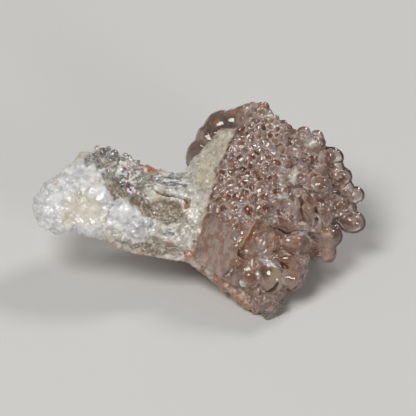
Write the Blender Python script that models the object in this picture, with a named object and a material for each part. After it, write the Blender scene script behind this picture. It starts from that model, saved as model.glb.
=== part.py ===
"""Hyalite opal: a broken plate of pale stone that carries a crust of glassy, lumpy opal.

Units are metres, +Z is up, and the stone rests on the plane Z = 0. The specimen is drawn as it is seen
from its front, looking down at VIEW_ELEVATION: a point is given in millimetres to the right, upwards
and towards the viewer, and seen() turns it into the model's own axes. Points that the front view
doesn't show are given straight in the model's axes, by their height over the resting plane.
"""

import math
import random

import bmesh
import bpy
import numpy as np
from mathutils import Matrix, Vector
from mathutils.bvhtree import BVHTree

MM = 0.001

# Driving dimensions, in millimetres and degrees.
VIEW_ELEVATION = 40.0  # how steeply the front view looks down
DRAWING_HEIGHT = 6.95  # the view's own zero point, over the resting plane
STONE_GRAIN = 0.34  # mesh size of the stone
CRUST_GRAIN = 0.24  # mesh size of the crust
SEAM = 0.45  # room left between the crust and the stone under it
STONE_ROUGHNESS = 0.55  # height of the broken surface's relief
RELIEF_SIZE = 1.5  # how wide one swell of that relief is
STONE_TRIANGLES = 3000
CRUST_TRIANGLES = 5200
CLUSTER_TRIANGLES = 700
FLOOR_DEPTH = 30.0  # size of the block that cuts the resting face
FAR = 30.0  # clear of the specimen on every side

ELEVATION = math.radians(VIEW_ELEVATION)
VIEW_UP = Vector((0, math.sin(ELEVATION), math.cos(ELEVATION)))
VIEW_TOWARD = Vector((0, -math.cos(ELEVATION), math.sin(ELEVATION)))

# The stone, as blocks: the points seen from the front, then the hidden ones as x, y and height.
STONE_BLOCKS = {
    "arm_end": (
        [(-15.5, 0.6, -0.8), (-14.7, 2.0, -1.8), (-14.7, -1.4, -0.2), (-14.1, -2.0, 0.2), (-13.2, -2.5, 0.2),
         (-12.3, -2.3, 0.5), (-12.8, 3.4, -2.6), (-11.3, -1.9, 1.4), (-12.5, 0.4, 1.0)],
        [(-13.6, 2.5, 5.6), (-12.0, 4.0, 6.6)],
    ),
    "arm": (
        [(-12.8, 3.4, -2.6), (-10.9, 5.1, -3.2), (-8.7, 6.0, -3.6), (-7.4, 5.2, -3.4), (-6.0, 4.6, -3.4),
         (-10.6, -2.0, 1.0), (-8.5, -2.8, 1.0), (-7.2, -3.7, 0.6), (-12.0, -0.5, 1.5), (-8.6, 0.6, 1.5),
         (-7.0, -1.6, 1.4), (-5.4, 2.6, -2.0)],
        [(-11.0, 5.0, 6.2), (-7.0, 6.0, 6.0), (-8.0, 0.5, 4.6)],
    ),
    "neck": (
        [(-6.3, 4.5, -3.4), (-4.6, 3.6, -3.0), (-3.2, 3.1, -2.8), (-1.4, 3.2, -2.6), (-7.4, -3.8, 0.5),
         (-5.2, -4.1, 0.4), (-3.6, -4.2, 0.3), (-2.0, -4.5, 0.4), (-0.8, -5.0, 0.4), (-6.8, -1.6, 1.2),
         (-4.0, -1.8, 0.3), (-1.0, -1.4, 0.2)],
        [(-6.0, 5.4, 5.2), (-1.0, 6.0, 4.0), (-4.0, 1.0, 3.6), (-1.0, 0.5, 2.6)],
    ),
    "slope": (
        [(-1.6, 3.3, -3.0), (0.3, 5.5, -4.4), (1.5, 7.0, -4.8), (2.8, 7.2, -3.4), (2.1, 4.7, -1.0),
         (3.6, 7.5, -4.6),
         (1.0, 1.6, 0.4), (0.1, -2.0, 0.6), (-0.8, -4.9, 0.4), (-1.8, -3.0, -0.1), (-1.6, 0.0, -1.0)],
        [(0.5, 7.0, 3.4), (-1.2, 5.4, 2.6), (0.4, 0.6, 2.2)],
    ),
    "root": (
        [(5.4, 8.6, -4.2), (3.0, 6.2, -2.4), (1.0, 0.6, 0.0), (0.2, -3.6, 0.0), (-0.6, -5.1, 0.5),
         (0.8, -6.1, 0.5), (3.3, -7.9, 0.6), (5.2, -9.5, 0.8), (7.2, -7.0, -0.4), (8.5, -4.6, -1.0),
         (11.0, -1.0, -4.2), (11.2, 2.0, -5.6), (10.0, 4.6, -5.8), (7.2, 6.2, -4.8), (4.0, -1.4, 1.6),
         (7.2, 0.4, -0.8), (5.4, -4.6, 1.0)],
        [(4.8, -5.6, -0.4), (6.6, -5.0, -0.4), (8.6, -1.6, -0.5), (10.8, 2.6, -0.5), (10.2, 5.0, -0.5),
         (6.0, 7.2, -0.5), (0.7, 5.6, -0.4), (0.3, 1.8, -0.4), (3.4, -2.6, -0.3), (4.0, 8.2, 4.0)],
    ),
}

# Lumps of milky stone on the arm: right, up, toward, then their radii across and in depth.
STONE_LUMPS = [
    (-10.0, 1.6, -0.3, 1.9, 1.5), (-8.2, 0.9, 0.4, 1.6, 1.3), (-6.6, 0.0, 0.6, 1.5, 1.2),
    (-12.6, 1.9, -0.8, 1.4, 1.1), (-13.6, 0.6, -0.4, 1.2, 1.0), (-12.6, -1.4, 0.4, 1.1, 0.9),
    (-9.4, -1.6, 0.8, 1.3, 0.9), (-5.6, -1.3, 0.9, 1.1, 0.8), (-10.4, 4.2, -2.6, 1.2, 0.9),
]

# The crust's body, before its lumps, in the same form as the stone's blocks.
CRUST_BLOCKS = {
    "front_slab": (
        [(5.7, 10.0, -3.3), (4.2, 8.7, -2.6), (3.2, 7.3, -1.8), (2.0, 4.9, -0.3), (0.9, 0.9, 1.4),
         (-0.2, -2.6, 1.5), (-0.8, -4.7, 1.0), (0.6, -5.7, 1.0), (3.2, -7.3, 1.2), (3.6, -3.8, 3.0),
         (4.5, -2.0, 3.1), (5.7, -0.3, 2.8), (7.6, 0.8, 1.4), (8.0, 4.0, -0.9), (7.9, 7.5, -2.8),
         (6.3, 8.9, -3.3), (1.3, -3.6, 2.1), (5.3, 8.6, -5.2), (3.2, 5.6, -2.8), (1.2, 0.4, -0.2),
         (0.4, -4.6, -0.2), (5.6, 0.0, 0.0)],
        [],
    ),
    "lower_body": (
        [(5.4, -0.6, 2.2), (3.6, -3.4, 2.2), (2.8, -7.1, 1.1), (5.9, -9.7, 1.0), (7.3, -8.2, 0.9),
         (8.6, -6.3, 0.9), (9.2, -4.8, 0.4), (9.6, -2.2, 0.4), (8.8, 0.6, 0.9), (6.4, -4.4, 2.4),
         (4.6, -7.0, 1.8)],
        [(5.9, -6.7, 0.2), (7.6, -4.0, 0.3), (8.8, -1.0, 0.3)],
    ),
    "right_body": (
        [(7.6, 7.4, -3.4), (9.8, 6.7, -4.2), (11.4, 5.3, -4.8), (12.3, 2.6, -4.6), (12.4, 0.0, -3.8),
         (11.4, -2.6, -2.4), (9.2, -4.2, -0.6), (7.4, 4.0, -1.3), (7.4, 0.4, 1.3), (8.6, 0.4, 1.2),
         (10.4, 1.6, -0.8), (10.0, -2.0, 0.1)],
        [(10.6, 1.4, 0.3), (11.4, 3.4, 0.4), (11.2, 6.0, 1.0), (8.0, 8.4, 1.0), (9.0, 8.6, 5.0)],
    ),
    "back_body": (
        [(5.6, 9.7, -4.2), (4.0, 8.7, -4.4), (3.0, 7.0, -3.0), (1.6, 7.6, -6.4), (0.2, 5.0, -6.6),
         (7.9, 7.2, -4.0)],
        [(1.0, 8.8, 5.0), (3.0, 9.6, 4.0), (7.0, 9.2, 2.0), (2.6, 8.0, 1.4), (5.6, 8.6, 0.6), (9.0, 7.6, 1.4)],
    ),
}

# Single lobes and drops of the crust, by their middle as seen from the front:
# right, up, toward, half width, half height, half depth, and the tilt of the width in degrees.
CRUST_LOBES = [
    # The drops that stand out past the right edge.
    (12.0, 4.9, -4.6, 0.95, 0.95, 0.95, 0), (12.9, 3.0, -4.3, 1.05, 1.0, 1.0, 0),
    (14.1, 1.25, -3.7, 0.85, 0.85, 0.85, 0), (13.7, -1.1, -2.8, 1.35, 1.15, 1.1, -8),
    (12.7, 0.6, -3.0, 1.2, 1.2, 1.1, 0), (11.5, -3.4, -1.4, 0.85, 0.8, 0.8, 20),
    (11.2, -2.3, -1.2, 1.3, 1.1, 1.0, 30), (10.5, 6.3, -4.2, 0.85, 0.8, 0.8, 0),
    (9.3, 6.7, -3.6, 0.8, 0.75, 0.75, 0),
    # The round and drawn-out lumps of the right flank.
    (9.2, 2.8, -0.9, 0.72, 0.72, 0.7, 0), (10.9, 2.1, -1.5, 1.15, 0.85, 0.8, -12),
    (9.6, 4.4, -1.9, 0.6, 0.6, 0.6, 0), (10.6, 3.8, -2.2, 0.6, 0.55, 0.5, 0),
    (9.5, 0.6, 0.3, 0.55, 1.15, 0.6, 8), (8.5, 0.4, 1.0, 0.6, 1.2, 0.6, -6),
    (10.7, -0.4, -0.4, 0.6, 1.15, 0.6, 16), (11.8, -0.6, -1.5, 0.62, 1.05, 0.6, 20),
    (9.4, -1.8, 0.7, 1.3, 0.5, 0.6, -12), (12.0, 1.2, -2.3, 0.9, 0.9, 0.7, 0),
    # The tongues of the lower right and the great lens over the tip.
    (8.1, -2.8, 1.6, 1.7, 0.65, 0.8, -10), (8.4, -4.4, 1.3, 1.6, 0.7, 0.8, -6),
    (6.6, -6.1, 1.9, 1.2, 1.3, 0.9, 35), (4.5, -5.9, 2.0, 0.85, 0.85, 0.8, 0),
    (8.4, -6.1, 0.9, 1.05, 1.1, 0.9, 0), (6.4, -1.4, 2.4, 0.9, 0.7, 0.8, -20),
    # The small drops round the tip.
    (5.1, -8.6, 1.2, 0.45, 0.45, 0.45, 0), (5.9, -9.4, 1.2, 0.5, 0.45, 0.45, 0),
    (6.5, -9.0, 1.2, 0.45, 0.45, 0.45, 0), (7.1, -8.4, 1.2, 0.45, 0.45, 0.45, 0),
    (6.0, -8.5, 1.5, 0.45, 0.45, 0.45, 0),
    # The smooth lobes behind the pale slope.
    (2.1, 7.3, -6.0, 1.9, 1.9, 1.8, 0), (0.2, 4.9, -6.2, 1.6, 1.7, 1.6, 0), (4.0, 8.3, -5.0, 1.4, 1.2, 1.3, 0),
]

# The drops of the clear cluster, which sit on the arm's skin: right, up and radius.
CLUSTER_DROPS = [
    (-8.7, 5.2, 0.72), (-9.5, 4.9, 0.6), (-8.3, 4.5, 0.72), (-9.2, 4.1, 0.62), (-7.7, 4.9, 0.6),
    (-7.4, 4.1, 0.75), (-6.6, 4.3, 0.62), (-6.5, 3.5, 0.72), (-5.8, 3.8, 0.6), (-7.3, 3.2, 0.75),
    (-6.3, 2.6, 0.7), (-8.3, 3.5, 0.62), (-7.0, 2.3, 0.65), (-5.4, 3.0, 0.6), (-5.4, 2.2, 0.56),
    (-6.2, 1.7, 0.56), (-10.2, 4.6, 0.52), (-4.8, 3.2, 0.5),
]

# Hollows in the neck: the crevice under its ledge, the pit at the crevice's end, and two dips.
# They are given by their middle in the front view, their half width, half height and depth, and a tilt.
STONE_HOLLOWS = [
    (-2.7, 1.25, 1.7, 0.28, 1.1, -14), (-1.15, 0.7, 0.4, 0.4, 1.0, 0), (-4.6, 0.2, 0.95, 0.75, 0.6, -30),
    (-4.4, -3.3, 1.6, 0.35, 0.5, -14),
]

SMOOTH_CORNER = (4.2, -1.4)  # the crust left of and below this point of the front view has no lumps
FLANK_EDGE = 8.0  # right of this the front's lumps are large
SLAB_LUMPS = (0.42, 0.6)  # least and greatest radius of the lumps, in three places
FLANK_LUMPS = (0.5, 0.85)
BACK_LUMPS = (0.7, 1.25)
LUMP_TRIES = 900
LUMP_SPACING = 0.75  # least distance between two lumps' middles, as a share of their radii together
LUMP_SINK = 0.3  # how deep a lump's middle lies, as a share of its radius
FRONT_FACING = 0.15  # a face that turns this little towards the viewer is on the flanks or the back
UNDERSIDE_FACING = -0.6  # a face that looks down more steeply than this stays bare
EDGE_FACING = -0.4  # a face that looks left more than this is on the broken edge, which stays bare too
EDGE_END = -4.0  # how far back that edge runs in the front view
LUMP_SEED = 7

FINISHES = {  # base colour, roughness, share of light let through
    "stone": ((0.62, 0.57, 0.47), 0.85, 0.0),
    "pink_opal": ((0.42, 0.24, 0.18), 0.12, 0.6),
    "clear_opal": ((0.75, 0.74, 0.72), 0.06, 0.9),
}


def seen(right, up, toward):
    """A point of the front view, in the model's axes."""
    height = Vector((0, 0, DRAWING_HEIGHT))
    return (Vector((right, 0, 0)) + VIEW_UP * up + VIEW_TOWARD * toward + height) * MM


def clear_scene():
    for thing in list(bpy.data.objects):
        bpy.data.objects.remove(thing)


def finish(name):
    colour, roughness, clear = FINISHES[name]
    material = bpy.data.materials.new(name)
    material.use_nodes = True
    shader = material.node_tree.nodes["Principled BSDF"]
    shader.inputs["Base Color"].default_value = (*colour, 1)
    shader.inputs["Roughness"].default_value = roughness
    shader.inputs["Metallic"].default_value = 0.0
    shader.inputs["Transmission Weight"].default_value = clear
    return material


def new_object(name, shape):
    """An object from a bmesh, which is freed."""
    mesh = bpy.data.meshes.new(name)
    shape.to_mesh(mesh)
    shape.free()
    thing = bpy.data.objects.new(name, mesh)
    bpy.context.scene.collection.objects.link(thing)
    return thing


def add_block(shape, front, hidden):
    """Adds the convex block round some points."""
    corners = [seen(*p) for p in front] + [Vector(p) * MM for p in hidden]
    points = [shape.verts.new(p) for p in corners]
    made = bmesh.ops.convex_hull(shape, input=points)
    loose = {v for v in made["geom_interior"] + made["geom_unused"] if isinstance(v, bmesh.types.BMVert)}
    bmesh.ops.delete(shape, geom=list(loose), context="VERTS")


def add_lobe(shape, place, radii, tilt=0.0, fineness=2):
    """Adds an ellipsoid, whose radii are across, up and towards the viewer. The tilt turns it in the view."""
    turn = Matrix((Vector((1, 0, 0)), VIEW_UP, VIEW_TOWARD)).transposed().to_4x4()
    size = Matrix.Diagonal(Vector((*radii, 1)) * MM)
    size[3][3] = 1
    matrix = Matrix.Translation(place) @ turn @ Matrix.Rotation(math.radians(tilt), 4, "Z") @ size
    bmesh.ops.create_icosphere(shape, subdivisions=fineness, radius=1, matrix=matrix)


def add_modifier(thing, kind, **settings):
    modifier = thing.modifiers.new(kind.title(), kind)
    for key, value in settings.items():
        setattr(modifier, key, value)
    return modifier


def settle(thing):
    """Applies the object's modifiers to its mesh."""
    graph = bpy.context.evaluated_depsgraph_get()
    mesh = bpy.data.meshes.new_from_object(thing.evaluated_get(graph))
    thing.modifiers.clear()
    thing.data = mesh


def fuse(thing, grain):
    """Makes one closed skin round everything in the object, of that mesh size in millimetres."""
    add_modifier(thing, "REMESH", mode="VOXEL", voxel_size=grain * MM)
    settle(thing)


def thin_out(thing, triangles):
    """Brings the object down to about that many triangles."""
    add_modifier(thing, "TRIANGULATE")
    settle(thing)
    add_modifier(thing, "DECIMATE", ratio=min(1.0, triangles / len(thing.data.polygons)))
    settle(thing)


def cutter(thing):
    thing.hide_render = True
    thing.display_type = "WIRE"
    return thing


def subtract(thing, tool):
    add_modifier(thing, "BOOLEAN", operation="DIFFERENCE", solver="EXACT", object=tool)


def rough_stone():
    """The stone: the arm, the neck, the pale slope and the root that the crust grew on."""
    shape = bmesh.new()
    for front, hidden in STONE_BLOCKS.values():
        add_block(shape, front, hidden)
    for right, up, toward, across, deep in STONE_LUMPS:
        add_lobe(shape, seen(right, up, toward), (across, across * 0.8, deep))
    stone = new_object("matrix", shape)
    fuse(stone, STONE_GRAIN)
    hollow_out(stone)
    relief = bpy.data.textures.new("broken_surface", "CLOUDS")
    relief.noise_scale = RELIEF_SIZE * MM
    relief.noise_depth = 2
    add_modifier(stone, "DISPLACE", texture=relief, strength=STONE_ROUGHNESS * MM, mid_level=0.5)
    thin_out(stone, STONE_TRIANGLES)
    return stone


def surface_of(thing):
    return BVHTree.FromPolygons([v.co for v in thing.data.vertices], [p.vertices for p in thing.data.polygons])


def on_front(skin, right, up):
    """Where the front view's line of sight meets a skin, and the skin's direction there."""
    hit, normal, _, _ = skin.ray_cast(seen(right, up, FAR), -VIEW_TOWARD)
    return hit, normal


def hollow_out(stone):
    """Sinks the crevice and the dips into the stone."""
    skin = surface_of(stone)
    for number, (right, up, across, high, deep, tilt) in enumerate(STONE_HOLLOWS):
        shape = bmesh.new()
        add_lobe(shape, on_front(skin, right, up)[0], (across, high, deep), tilt)
        subtract(stone, cutter(new_object(f"hollow_cutter_{number}", shape)))
    fuse(stone, STONE_GRAIN)


def swollen_stone(stone):
    """The stone grown by the seam, which hollows out what lies on it."""
    grown = stone.copy()
    grown.data = stone.data.copy()
    grown.name = "seam_cutter"
    bpy.context.scene.collection.objects.link(grown)
    add_modifier(grown, "DISPLACE", strength=SEAM * MM, mid_level=0.0)
    settle(grown)
    fuse(grown, STONE_GRAIN)
    thin_out(grown, STONE_TRIANGLES)
    return cutter(grown)


def crust_body():
    shape = bmesh.new()
    for front, hidden in CRUST_BLOCKS.values():
        add_block(shape, front, hidden)
    body = new_object("crust_body", shape)
    fuse(body, CRUST_GRAIN)
    return body


def lump_radii(place, normal):
    """The least and greatest radius of the lumps at a place of the crust, or None where it is smooth."""
    offset = place / MM - Vector((0, 0, DRAWING_HEIGHT))
    broken_edge = normal.x < EDGE_FACING and offset.dot(VIEW_TOWARD) > EDGE_END
    smooth_corner = offset.x < SMOOTH_CORNER[0] and offset.dot(VIEW_UP) < SMOOTH_CORNER[1]
    if broken_edge or smooth_corner or normal.z < UNDERSIDE_FACING:
        return None
    if normal.dot(VIEW_TOWARD) < FRONT_FACING:
        return BACK_LUMPS
    return FLANK_LUMPS if offset.x > FLANK_EDGE else SLAB_LUMPS


def scattered_lumps(body):
    """Places for the crust's lumps: no two nearer than three quarters of their radii together."""
    dice = random.Random(LUMP_SEED)
    faces = body.data.polygons
    placed = []
    for face in dice.choices(faces, weights=[f.area for f in faces], k=LUMP_TRIES):
        radii = lump_radii(face.center, face.normal)
        if radii is None:
            continue
        radius = dice.uniform(*radii)
        middle = face.center - face.normal * radius * LUMP_SINK * MM
        if all((middle - other).length > LUMP_SPACING * (radius + size) * MM for other, size in placed):
            placed.append((middle, radius))
    return placed


def opal_crust(seam):
    """The crust: its body with every lobe, drop and lump grown onto it, hollowed out over the stone."""
    body = crust_body()
    lumps = scattered_lumps(body)
    shape = bmesh.new()
    shape.from_mesh(body.data)
    bpy.data.objects.remove(body)
    for right, up, toward, across, high, deep, tilt in CRUST_LOBES:
        add_lobe(shape, seen(right, up, toward), (across, high, deep), tilt, fineness=3)
    for middle, radius in lumps:
        add_lobe(shape, middle, (radius,) * 3)
    crust = new_object("hyalite_crust", shape)
    fuse(crust, CRUST_GRAIN)
    thin_out(crust, CRUST_TRIANGLES)
    subtract(crust, seam)
    return crust


def clear_cluster(stone, seam):
    """The patch of clear drops on the arm's back edge."""
    skin = surface_of(stone)
    shape = bmesh.new()
    for right, up, radius in CLUSTER_DROPS:
        foot, normal = on_front(skin, right, up)
        add_lobe(shape, foot + normal * SEAM * MM, (radius,) * 3)
    cluster = new_object("hyalite_cluster", shape)
    fuse(cluster, CRUST_GRAIN)
    thin_out(cluster, CLUSTER_TRIANGLES)
    subtract(cluster, seam)
    return cluster


def resting_block():
    """The block under the resting plane, which cuts the stone's foot flat."""
    shape = bmesh.new()
    bmesh.ops.create_cube(shape, size=FLOOR_DEPTH * 2 * MM)
    block = new_object("resting_plane_cutter", shape)
    block.location.z = -FLOOR_DEPTH * MM
    return cutter(block)


def largest_body(thing):
    """Keeps the object's largest closed body, dropping crumbs that a cut leaves."""
    settle(thing)
    shape = bmesh.new()
    shape.from_mesh(thing.data)
    left = set(shape.verts)
    bodies = []
    while left:
        front = [left.pop()]
        body = set(front)
        while front:
            near = {e.other_vert(v) for v in front for e in v.link_edges} - body
            body |= near
            front = list(near)
        left -= body
        bodies.append(body)
    bodies.sort(key=len)
    crumbs = [v for body in bodies[:-1] for v in body]
    bmesh.ops.delete(shape, geom=crumbs, context="VERTS")
    shape.to_mesh(thing.data)
    shape.free()


def centre_on_origin(things):
    """Moves the pieces so that the origin is the middle of the underside of their common box."""
    points = np.array([v.co for thing in things for v in thing.data.vertices])
    middle = (points.min(axis=0) + points.max(axis=0)) / 2
    for thing in things:
        thing.location = (-middle[0], -middle[1], 0)
    print("box of the part, mm:", points.min(axis=0) / MM, points.max(axis=0) / MM)


def main():
    clear_scene()
    stone = rough_stone()
    seam = swollen_stone(stone)
    crust = opal_crust(seam)
    cluster = clear_cluster(stone, seam)
    ground = resting_block()
    for thing, material in ((stone, "stone"), (crust, "pink_opal"), (cluster, "clear_opal")):
        subtract(thing, ground)
        largest_body(thing)
        thing.data.materials.clear()
        thing.data.materials.append(finish(material))
    centre_on_origin([stone, crust, cluster])


main()
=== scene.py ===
import math

import bmesh
import bpy
import numpy as np
from mathutils import Matrix, Vector, noise
from mathutils.bvhtree import BVHTree
from mathutils.kdtree import KDTree


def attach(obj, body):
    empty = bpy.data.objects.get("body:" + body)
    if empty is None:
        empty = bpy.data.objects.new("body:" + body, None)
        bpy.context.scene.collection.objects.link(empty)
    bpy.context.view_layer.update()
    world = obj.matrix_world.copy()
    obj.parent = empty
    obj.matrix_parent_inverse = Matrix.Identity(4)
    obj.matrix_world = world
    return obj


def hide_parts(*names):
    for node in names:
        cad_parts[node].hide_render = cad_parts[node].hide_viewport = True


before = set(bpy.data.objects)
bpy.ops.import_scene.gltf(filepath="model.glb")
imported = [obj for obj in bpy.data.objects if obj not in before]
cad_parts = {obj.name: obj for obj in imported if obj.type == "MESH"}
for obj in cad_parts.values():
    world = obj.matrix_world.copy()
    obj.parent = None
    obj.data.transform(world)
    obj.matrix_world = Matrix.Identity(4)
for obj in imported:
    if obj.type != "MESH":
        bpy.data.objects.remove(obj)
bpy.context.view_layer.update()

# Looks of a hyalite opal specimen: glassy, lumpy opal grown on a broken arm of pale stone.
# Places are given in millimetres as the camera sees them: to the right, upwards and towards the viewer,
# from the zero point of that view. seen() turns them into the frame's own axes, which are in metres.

MM = 0.001
VIEW_ELEVATION = math.radians(40.0)
VIEW_ZERO = Vector((0.117, -1.875, 6.95)) * MM  # the view's zero point, in the frame
VIEW_RIGHT = Vector((1, 0, 0))
VIEW_UP = Vector((0, math.sin(VIEW_ELEVATION), math.cos(VIEW_ELEVATION)))
VIEW_TOWARD = Vector((0, -math.cos(VIEW_ELEVATION), math.sin(VIEW_ELEVATION)))
FAR = 30.0  # millimetres, clear of the specimen on every side

# The photograph: its size and scale, and the pixel at the view's zero point.
PICTURE_SIZE = 416
PIXEL = 0.09
ZERO_PIXEL = (200, 210)
CAMERA_DISTANCE = 600.0

# Mesh sizes, in millimetres.
CORE_GRAIN = 0.25
STONE_GRAIN = 0.12
CRUST_GRAIN = 0.092
CLUSTER_GRAIN = 0.075
OUTSIDE_GRAIN = 0.2
BASE_GRAIN = 0.138
CRUST_TRIANGLES = 190000  # what is left of the crust's mesh when its hidden and far sides are thinned out

SEAM = 0.6  # how far the stone swells to close the seam under the opal
CORE_DEPTH = 0.5  # how deep the stone lies under the crust's surface
CORE_SMOOTHING = 26
BURIED = 0.3  # opal this deep in the stone is never seen
SEED = 11

# Drops of the crust that stand clear of it: right, up, half width, half height, half depth, and tilt
# in degrees.
CRUST_DROPS = [
    # Past the right edge.
    (12.24, 4.77, 0.85, 0.85, 0.85, 0), (12.8, 2.85, 1.0, 0.95, 0.95, 0), (14.1, 1.35, 0.85, 0.85, 0.85, 0),
    (13.8, -1.1, 1.25, 1.1, 1.05, -8), (12.8, 0.6, 1.0, 1.0, 0.95, 0), (11.55, -3.7, 0.85, 0.75, 0.75, 15),
    (11.75, -2.4, 1.2, 1.1, 1.0, 20), (10.6, 6.1, 0.8, 0.75, 0.75, 0), (9.4, 6.7, 0.75, 0.7, 0.7, 0),
    (12.9, -0.5, 0.8, 0.85, 0.8, 0), (13.05, 1.0, 0.6, 0.9, 0.7, 10), (12.5, 3.7, 0.7, 0.8, 0.7, 0),
    (13.5, 0.2, 0.75, 0.9, 0.8, 0), (12.4, -3.0, 0.8, 0.7, 0.7, 30), (13.4, 2.1, 0.6, 0.7, 0.6, 30),
    # Round the tip.
    (5.1, -8.5, 0.42, 0.42, 0.42, 0), (5.9, -9.2, 0.45, 0.42, 0.42, 0), (6.5, -8.9, 0.42, 0.42, 0.42, 0),
    (7.1, -8.4, 0.42, 0.42, 0.42, 0), (6.1, -8.3, 0.4, 0.4, 0.4, 0), (4.3, -7.9, 0.36, 0.36, 0.36, 0),
    (7.8, -7.9, 0.5, 0.5, 0.5, 0), (5.2, -9.3, 0.3, 0.3, 0.3, 0), (7.5, -8.9, 0.3, 0.3, 0.3, 0),
]

# Smooth lobes behind the pale slope, which also have a place towards the viewer, after the place upwards.
BACK_LOBES = [
    (3.1, 7.9, -5.4, 1.5, 1.35, 1.4, 0), (1.1, 6.3, -6.2, 1.6, 1.6, 1.6, 0),
    (4.9, 8.8, -4.9, 1.2, 0.9, 1.2, 0), (1.9, 6.3, -5.2, 1.2, 1.2, 0.9, 0),
    (0.2, 4.6, -5.4, 1.2, 1.2, 1.0, 0),
    # Behind the ridge, where they close an opening of the crust.
    (7.9, 6.2, -5.1, 1.2, 1.2, 1.1, 0), (7.6, 5.3, -5.7, 1.2, 1.2, 1.1, 0),
    (7.8, 4.4, -6.2, 1.1, 1.1, 1.1, 0),
]

# Swellings of the crust: right, up, half width, half height, tilt, and how far they rise.
CRUST_SWELLINGS = [
    # The top of the right flank.
    (9.36, 4.5, 0.62, 0.62, 0, 0.45), (9.27, 2.88, 0.72, 0.72, 0, 0.5), (11.0, 2.3, 1.1, 0.85, -12, 0.6),
    (10.08, 5.75, 0.75, 0.7, 0, 0.4), (11.6, 4.9, 0.85, 0.8, 0, 0.5), (10.9, 3.75, 0.75, 0.6, 20, 0.42),
    (7.55, 3.3, 0.5, 0.6, 0, 0.32), (8.1, 4.3, 0.5, 0.42, 30, 0.28), (12.0, 3.3, 0.7, 0.6, 0, 0.4),
    (8.3, 5.4, 0.7, 0.5, 30, 0.32), (9.1, 6.3, 0.8, 0.55, -10, 0.32), (12.2, 1.5, 0.7, 0.8, 0, 0.42),
    # Its upright lobes, and the ridges between them.
    (8.62, 0.42, 0.42, 1.05, -6, 0.42), (9.75, 0.25, 0.6, 1.2, 6, 0.5), (11.4, -0.27, 0.7, 1.15, 12, 0.5),
    (10.83, 0.95, 0.85, 0.27, -35, 0.4), (7.6, 0.6, 0.66, 0.75, 0, 0.2), (7.43, -0.3, 0.48, 0.17, -50, 0.3),
    (8.1, -0.75, 0.72, 0.2, -55, 0.34), (9.27, -1.26, 0.75, 0.38, -8, 0.4),
    (10.5, -1.5, 0.5, 0.6, 30, 0.32),
    # The tongues below them.
    (7.7, -1.2, 1.35, 0.42, -18, 0.46), (8.64, -2.97, 1.55, 0.8, -6, 0.57),
    (6.53, -2.8, 0.42, 0.9, 0, 0.41), (5.6, -3.0, 0.5, 0.85, -20, 0.35), (8.0, -4.6, 1.7, 0.62, -6, 0.54),
    (10.4, -3.2, 0.5, 0.7, 10, 0.41), (8.2, -5.95, 0.9, 1.25, -10, 0.57),
    (5.85, -4.5, 0.8, 0.34, -25, 0.41),
    # The great lens, the ringed bubble beside it, and what lies round them.
    (6.3, -6.05, 1.25, 1.6, 20, 0.68), (4.5, -6.15, 0.95, 0.92, 0, 0.49), (3.6, -4.75, 0.7, 0.42, 10, 0.34),
    (2.6, -5.7, 0.5, 0.22, 35, 0.27), (3.75, -6.7, 0.36, 0.34, 0, 0.35), (4.6, -3.9, 0.5, 0.4, -20, 0.35),
    (6.9, -7.5, 0.6, 0.36, 15, 0.41), (5.2, -7.7, 0.55, 0.32, -15, 0.38),
    # The larger bumps of the front.
    (4.2, 1.7, 0.55, 0.45, 0, 0.26), (4.55, 1.05, 0.24, 0.42, 0, 0.2), (5.05, 1.0, 0.27, 0.5, -5, 0.22),
    (6.1, 0.5, 0.36, 0.36, 0, 0.2), (3.4, 0.8, 0.8, 0.34, 8, 0.2), (2.1, 1.4, 0.5, 0.3, 20, 0.16),
    (5.2, 0.25, 0.45, 0.42, 0, 0.22), (6.0, 2.7, 0.3, 0.5, 10, 0.22), (5.0, 3.6, 0.34, 0.6, 12, 0.22),
    (3.2, 3.6, 0.5, 0.4, 0, 0.2), (6.7, 1.7, 0.4, 0.36, 0, 0.22), (3.4, -0.5, 0.42, 0.3, 30, 0.18),
]

# Hollows and cracks of the crust, each as its points in the view, then its half width and depth.
CRUST_HOLLOWS = [
    ([(6.6, -0.5), (5.6, -1.0), (5.1, -1.7), (4.7, -2.4), (4.2, -3.1), (3.8, -3.6)], 0.45, 0.5),
    ([(6.75, -1.9), (6.75, -3.6)], 0.12, 0.2),
]
# Along each crack the colour also paints shade.
CRUST_CRACKS = [
    ([(6.21, -1.3), (6.34, -1.71), (7.45, -1.84), (7.83, -1.98), (8.64, -2.04)], 0.17, 0.42),
    ([(6.55, -3.6), (7.25, -3.65), (7.83, -3.85), (8.46, -3.96)], 0.17, 0.48),
    ([(3.42, -3.51), (3.51, -4.05), (4.23, -4.41)], 0.16, 0.42),
    ([(6.93, -6.43), (6.66, -6.9), (6.15, -7.29), (5.35, -7.56)], 0.18, 0.48),
    ([(9.13, 1.53), (9.25, 0.6), (9.1, 0.0), (9.27, -0.72)], 0.1, 0.24),
    ([(10.44, 0.36), (10.62, -0.63), (10.3, -1.53)], 0.16, 0.36),
    ([(8.28, -1.93), (9.36, -2.02), (10.39, -2.43)], 0.17, 0.36),
    ([(7.2, -4.68), (7.92, -5.22)], 0.18, 0.3),
]
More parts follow.
